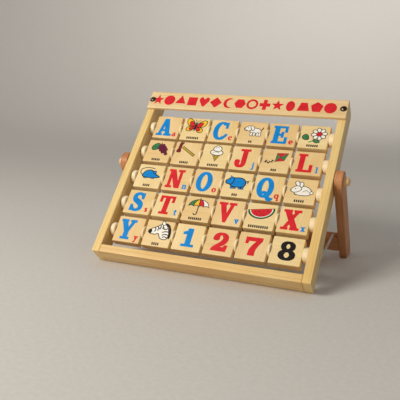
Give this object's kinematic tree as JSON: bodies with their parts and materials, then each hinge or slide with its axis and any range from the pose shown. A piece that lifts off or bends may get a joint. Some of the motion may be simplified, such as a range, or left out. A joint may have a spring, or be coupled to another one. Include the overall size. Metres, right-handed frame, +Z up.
{
  "type": "spinning block toy",
  "caption": "Tabletop wooden frame that leans back on hinged rear legs and holds rows of picture and letter blocks that spin on rods between round spacers.",
  "frame": {"origin": "middle of the width and of the depth, on the surface the toy stands on", "axes": "+X to the right seen from the front, across the rows of blocks; +Y back, from the leaning board to the legs; +Z up"},
  "size_m": [0.283, 0.1824, 0.1883],
  "materials": {
    "frame_wood": "clear-varnished pine",
    "header_wood": "clear-varnished thin board",
    "screw_steel": "browned steel",
    "rod_wood": "plain dowel",
    "spacer_wood": "smooth turned maple",
    "block_wood": "sanded and sealed",
    "leg_wood": "clear-varnished, darker",
    "peg_wood": "smooth dowel",
    "cord_cotton": "twisted cotton"
  },
  "bodies": {
    "frame": {"left_stile": "frame_wood", "right_stile": "frame_wood", "bottom_rail": "frame_wood", "header_board": "header_wood", "screw_left": "screw_steel", "screw_right": "screw_steel", "rod_1": "rod_wood", "rod_2": "rod_wood", "rod_3": "rod_wood", "rod_4": "rod_wood", "rod_5": "rod_wood", "peg_left": "peg_wood", "peg_right": "peg_wood", "stay_cord_right": "cord_cotton"},
    "spacer_row_1": {"spacers_1": "spacer_wood"},
    "block_11": {"block_11": "block_wood"},
    "block_12": {"block_12": "block_wood"},
    "block_13": {"block_13": "block_wood"},
    "block_14": {"block_14": "block_wood"},
    "block_15": {"block_15": "block_wood"},
    "block_16": {"block_16": "block_wood"},
    "spacer_row_2": {"spacers_2": "spacer_wood"},
    "block_21": {"block_21": "block_wood"},
    "block_22": {"block_22": "block_wood"},
    "block_23": {"block_23": "block_wood"},
    "block_24": {"block_24": "block_wood"},
    "block_25": {"block_25": "block_wood"},
    "block_26": {"block_26": "block_wood"},
    "spacer_row_3": {"spacers_3": "spacer_wood"},
    "block_31": {"block_31": "block_wood"},
    "block_32": {"block_32": "block_wood"},
    "block_33": {"block_33": "block_wood"},
    "block_34": {"block_34": "block_wood"},
    "block_35": {"block_35": "block_wood"},
    "block_36": {"block_36": "block_wood"},
    "spacer_row_4": {"spacers_4": "spacer_wood"},
    "block_41": {"block_41": "block_wood"},
    "block_42": {"block_42": "block_wood"},
    "block_43": {"block_43": "block_wood"},
    "block_44": {"block_44": "block_wood"},
    "block_45": {"block_45": "block_wood"},
    "block_46": {"block_46": "block_wood"},
    "spacer_row_5": {"spacers_5": "spacer_wood"},
    "block_51": {"block_51": "block_wood"},
    "block_52": {"block_52": "block_wood"},
    "block_53": {"block_53": "block_wood"},
    "block_54": {"block_54": "block_wood"},
    "block_55": {"block_55": "block_wood"},
    "block_56": {"block_56": "block_wood"},
    "legs": {"leg_left": "leg_wood", "leg_right": "leg_wood", "crossbar": "leg_wood"}
  },
  "joints": [
    {"name": "spacers_1_spin", "type": "hinge", "parent": "frame", "child": "spacer_row_1", "pos_m": [0, 0.03877, 0.14317], "axis": [1, 0, 0], "continuous": true},
    {"name": "block_11_spin", "type": "hinge", "parent": "frame", "child": "block_11", "pos_m": [-0.092, 0.03877, 0.14317], "axis": [1, 0, 0], "continuous": true},
    {"name": "block_12_spin", "type": "hinge", "parent": "frame", "child": "block_12", "pos_m": [-0.0552, 0.03877, 0.14317], "axis": [1, 0, 0], "continuous": true},
    {"name": "block_13_spin", "type": "hinge", "parent": "frame", "child": "block_13", "pos_m": [-0.0184, 0.03877, 0.14317], "axis": [1, 0, 0], "continuous": true},
    {"name": "block_14_spin", "type": "hinge", "parent": "frame", "child": "block_14", "pos_m": [0.0184, 0.03877, 0.14317], "axis": [1, 0, 0], "continuous": true},
    {"name": "block_15_spin", "type": "hinge", "parent": "frame", "child": "block_15", "pos_m": [0.0552, 0.03877, 0.14317], "axis": [1, 0, 0], "continuous": true},
    {"name": "block_16_spin", "type": "hinge", "parent": "frame", "child": "block_16", "pos_m": [0.092, 0.03877, 0.14317], "axis": [1, 0, 0], "continuous": true},
    {"name": "spacers_2_spin", "type": "hinge", "parent": "frame", "child": "spacer_row_2", "pos_m": [0, 0.01428, 0.11597], "axis": [1, 0, 0], "continuous": true},
    {"name": "block_21_spin", "type": "hinge", "parent": "frame", "child": "block_21", "pos_m": [-0.092, 0.01428, 0.11597], "axis": [1, 0, 0], "continuous": true},
    {"name": "block_22_spin", "type": "hinge", "parent": "frame", "child": "block_22", "pos_m": [-0.0552, 0.01428, 0.11597], "axis": [1, 0, 0], "continuous": true},
    {"name": "block_23_spin", "type": "hinge", "parent": "frame", "child": "block_23", "pos_m": [-0.0184, 0.01428, 0.11597], "axis": [1, 0, 0], "continuous": true},
    {"name": "block_24_spin", "type": "hinge", "parent": "frame", "child": "block_24", "pos_m": [0.0184, 0.01428, 0.11597], "axis": [1, 0, 0], "continuous": true},
    {"name": "block_25_spin", "type": "hinge", "parent": "frame", "child": "block_25", "pos_m": [0.0552, 0.01428, 0.11597], "axis": [1, 0, 0], "continuous": true},
    {"name": "block_26_spin", "type": "hinge", "parent": "frame", "child": "block_26", "pos_m": [0.092, 0.01428, 0.11597], "axis": [1, 0, 0], "continuous": true},
    {"name": "spacers_3_spin", "type": "hinge", "parent": "frame", "child": "spacer_row_3", "pos_m": [0, -0.01021, 0.08877], "axis": [1, 0, 0], "continuous": true},
    {"name": "block_31_spin", "type": "hinge", "parent": "frame", "child": "block_31", "pos_m": [-0.092, -0.01021, 0.08877], "axis": [1, 0, 0], "continuous": true},
    {"name": "block_32_spin", "type": "hinge", "parent": "frame", "child": "block_32", "pos_m": [-0.0552, -0.01021, 0.08877], "axis": [1, 0, 0], "continuous": true},
    {"name": "block_33_spin", "type": "hinge", "parent": "frame", "child": "block_33", "pos_m": [-0.0184, -0.01021, 0.08877], "axis": [1, 0, 0], "continuous": true},
    {"name": "block_34_spin", "type": "hinge", "parent": "frame", "child": "block_34", "pos_m": [0.0184, -0.01021, 0.08877], "axis": [1, 0, 0], "continuous": true},
    {"name": "block_35_spin", "type": "hinge", "parent": "frame", "child": "block_35", "pos_m": [0.0552, -0.01021, 0.08877], "axis": [1, 0, 0], "continuous": true},
    {"name": "block_36_spin", "type": "hinge", "parent": "frame", "child": "block_36", "pos_m": [0.092, -0.01021, 0.08877], "axis": [1, 0, 0], "continuous": true},
    {"name": "spacers_4_spin", "type": "hinge", "parent": "frame", "child": "spacer_row_4", "pos_m": [0, -0.0347, 0.06157], "axis": [1, 0, 0], "continuous": true},
    {"name": "block_41_spin", "type": "hinge", "parent": "frame", "child": "block_41", "pos_m": [-0.092, -0.0347, 0.06157], "axis": [1, 0, 0], "continuous": true},
    {"name": "block_42_spin", "type": "hinge", "parent": "frame", "child": "block_42", "pos_m": [-0.0552, -0.0347, 0.06157], "axis": [1, 0, 0], "continuous": true},
    {"name": "block_43_spin", "type": "hinge", "parent": "frame", "child": "block_43", "pos_m": [-0.0184, -0.0347, 0.06157], "axis": [1, 0, 0], "continuous": true},
    {"name": "block_44_spin", "type": "hinge", "parent": "frame", "child": "block_44", "pos_m": [0.0184, -0.0347, 0.06157], "axis": [1, 0, 0], "continuous": true},
    {"name": "block_45_spin", "type": "hinge", "parent": "frame", "child": "block_45", "pos_m": [0.0552, -0.0347, 0.06157], "axis": [1, 0, 0], "continuous": true},
    {"name": "block_46_spin", "type": "hinge", "parent": "frame", "child": "block_46", "pos_m": [0.092, -0.0347, 0.06157], "axis": [1, 0, 0], "continuous": true},
    {"name": "spacers_5_spin", "type": "hinge", "parent": "frame", "child": "spacer_row_5", "pos_m": [0, -0.05919, 0.03437], "axis": [1, 0, 0], "continuous": true},
    {"name": "block_51_spin", "type": "hinge", "parent": "frame", "child": "block_51", "pos_m": [-0.092, -0.05919, 0.03437], "axis": [1, 0, 0], "continuous": true},
    {"name": "block_52_spin", "type": "hinge", "parent": "frame", "child": "block_52", "pos_m": [-0.0552, -0.05919, 0.03437], "axis": [1, 0, 0], "continuous": true},
    {"name": "block_53_spin", "type": "hinge", "parent": "frame", "child": "block_53", "pos_m": [-0.0184, -0.05919, 0.03437], "axis": [1, 0, 0], "continuous": true},
    {"name": "block_54_spin", "type": "hinge", "parent": "frame", "child": "block_54", "pos_m": [0.0184, -0.05919, 0.03437], "axis": [1, 0, 0], "continuous": true},
    {"name": "block_55_spin", "type": "hinge", "parent": "frame", "child": "block_55", "pos_m": [0.0552, -0.05919, 0.03437], "axis": [1, 0, 0], "continuous": true},
    {"name": "block_56_spin", "type": "hinge", "parent": "frame", "child": "block_56", "pos_m": [0.092, -0.05919, 0.03437], "axis": [1, 0, 0], "continuous": true},
    {"name": "legs_fold", "type": "hinge", "parent": "frame", "child": "legs", "pos_m": [0, 0.00229, 0.10416], "axis": [-1, 0, 0], "range_deg": [0, 56], "deforming": ["stay_cord_right"]}
  ]
}
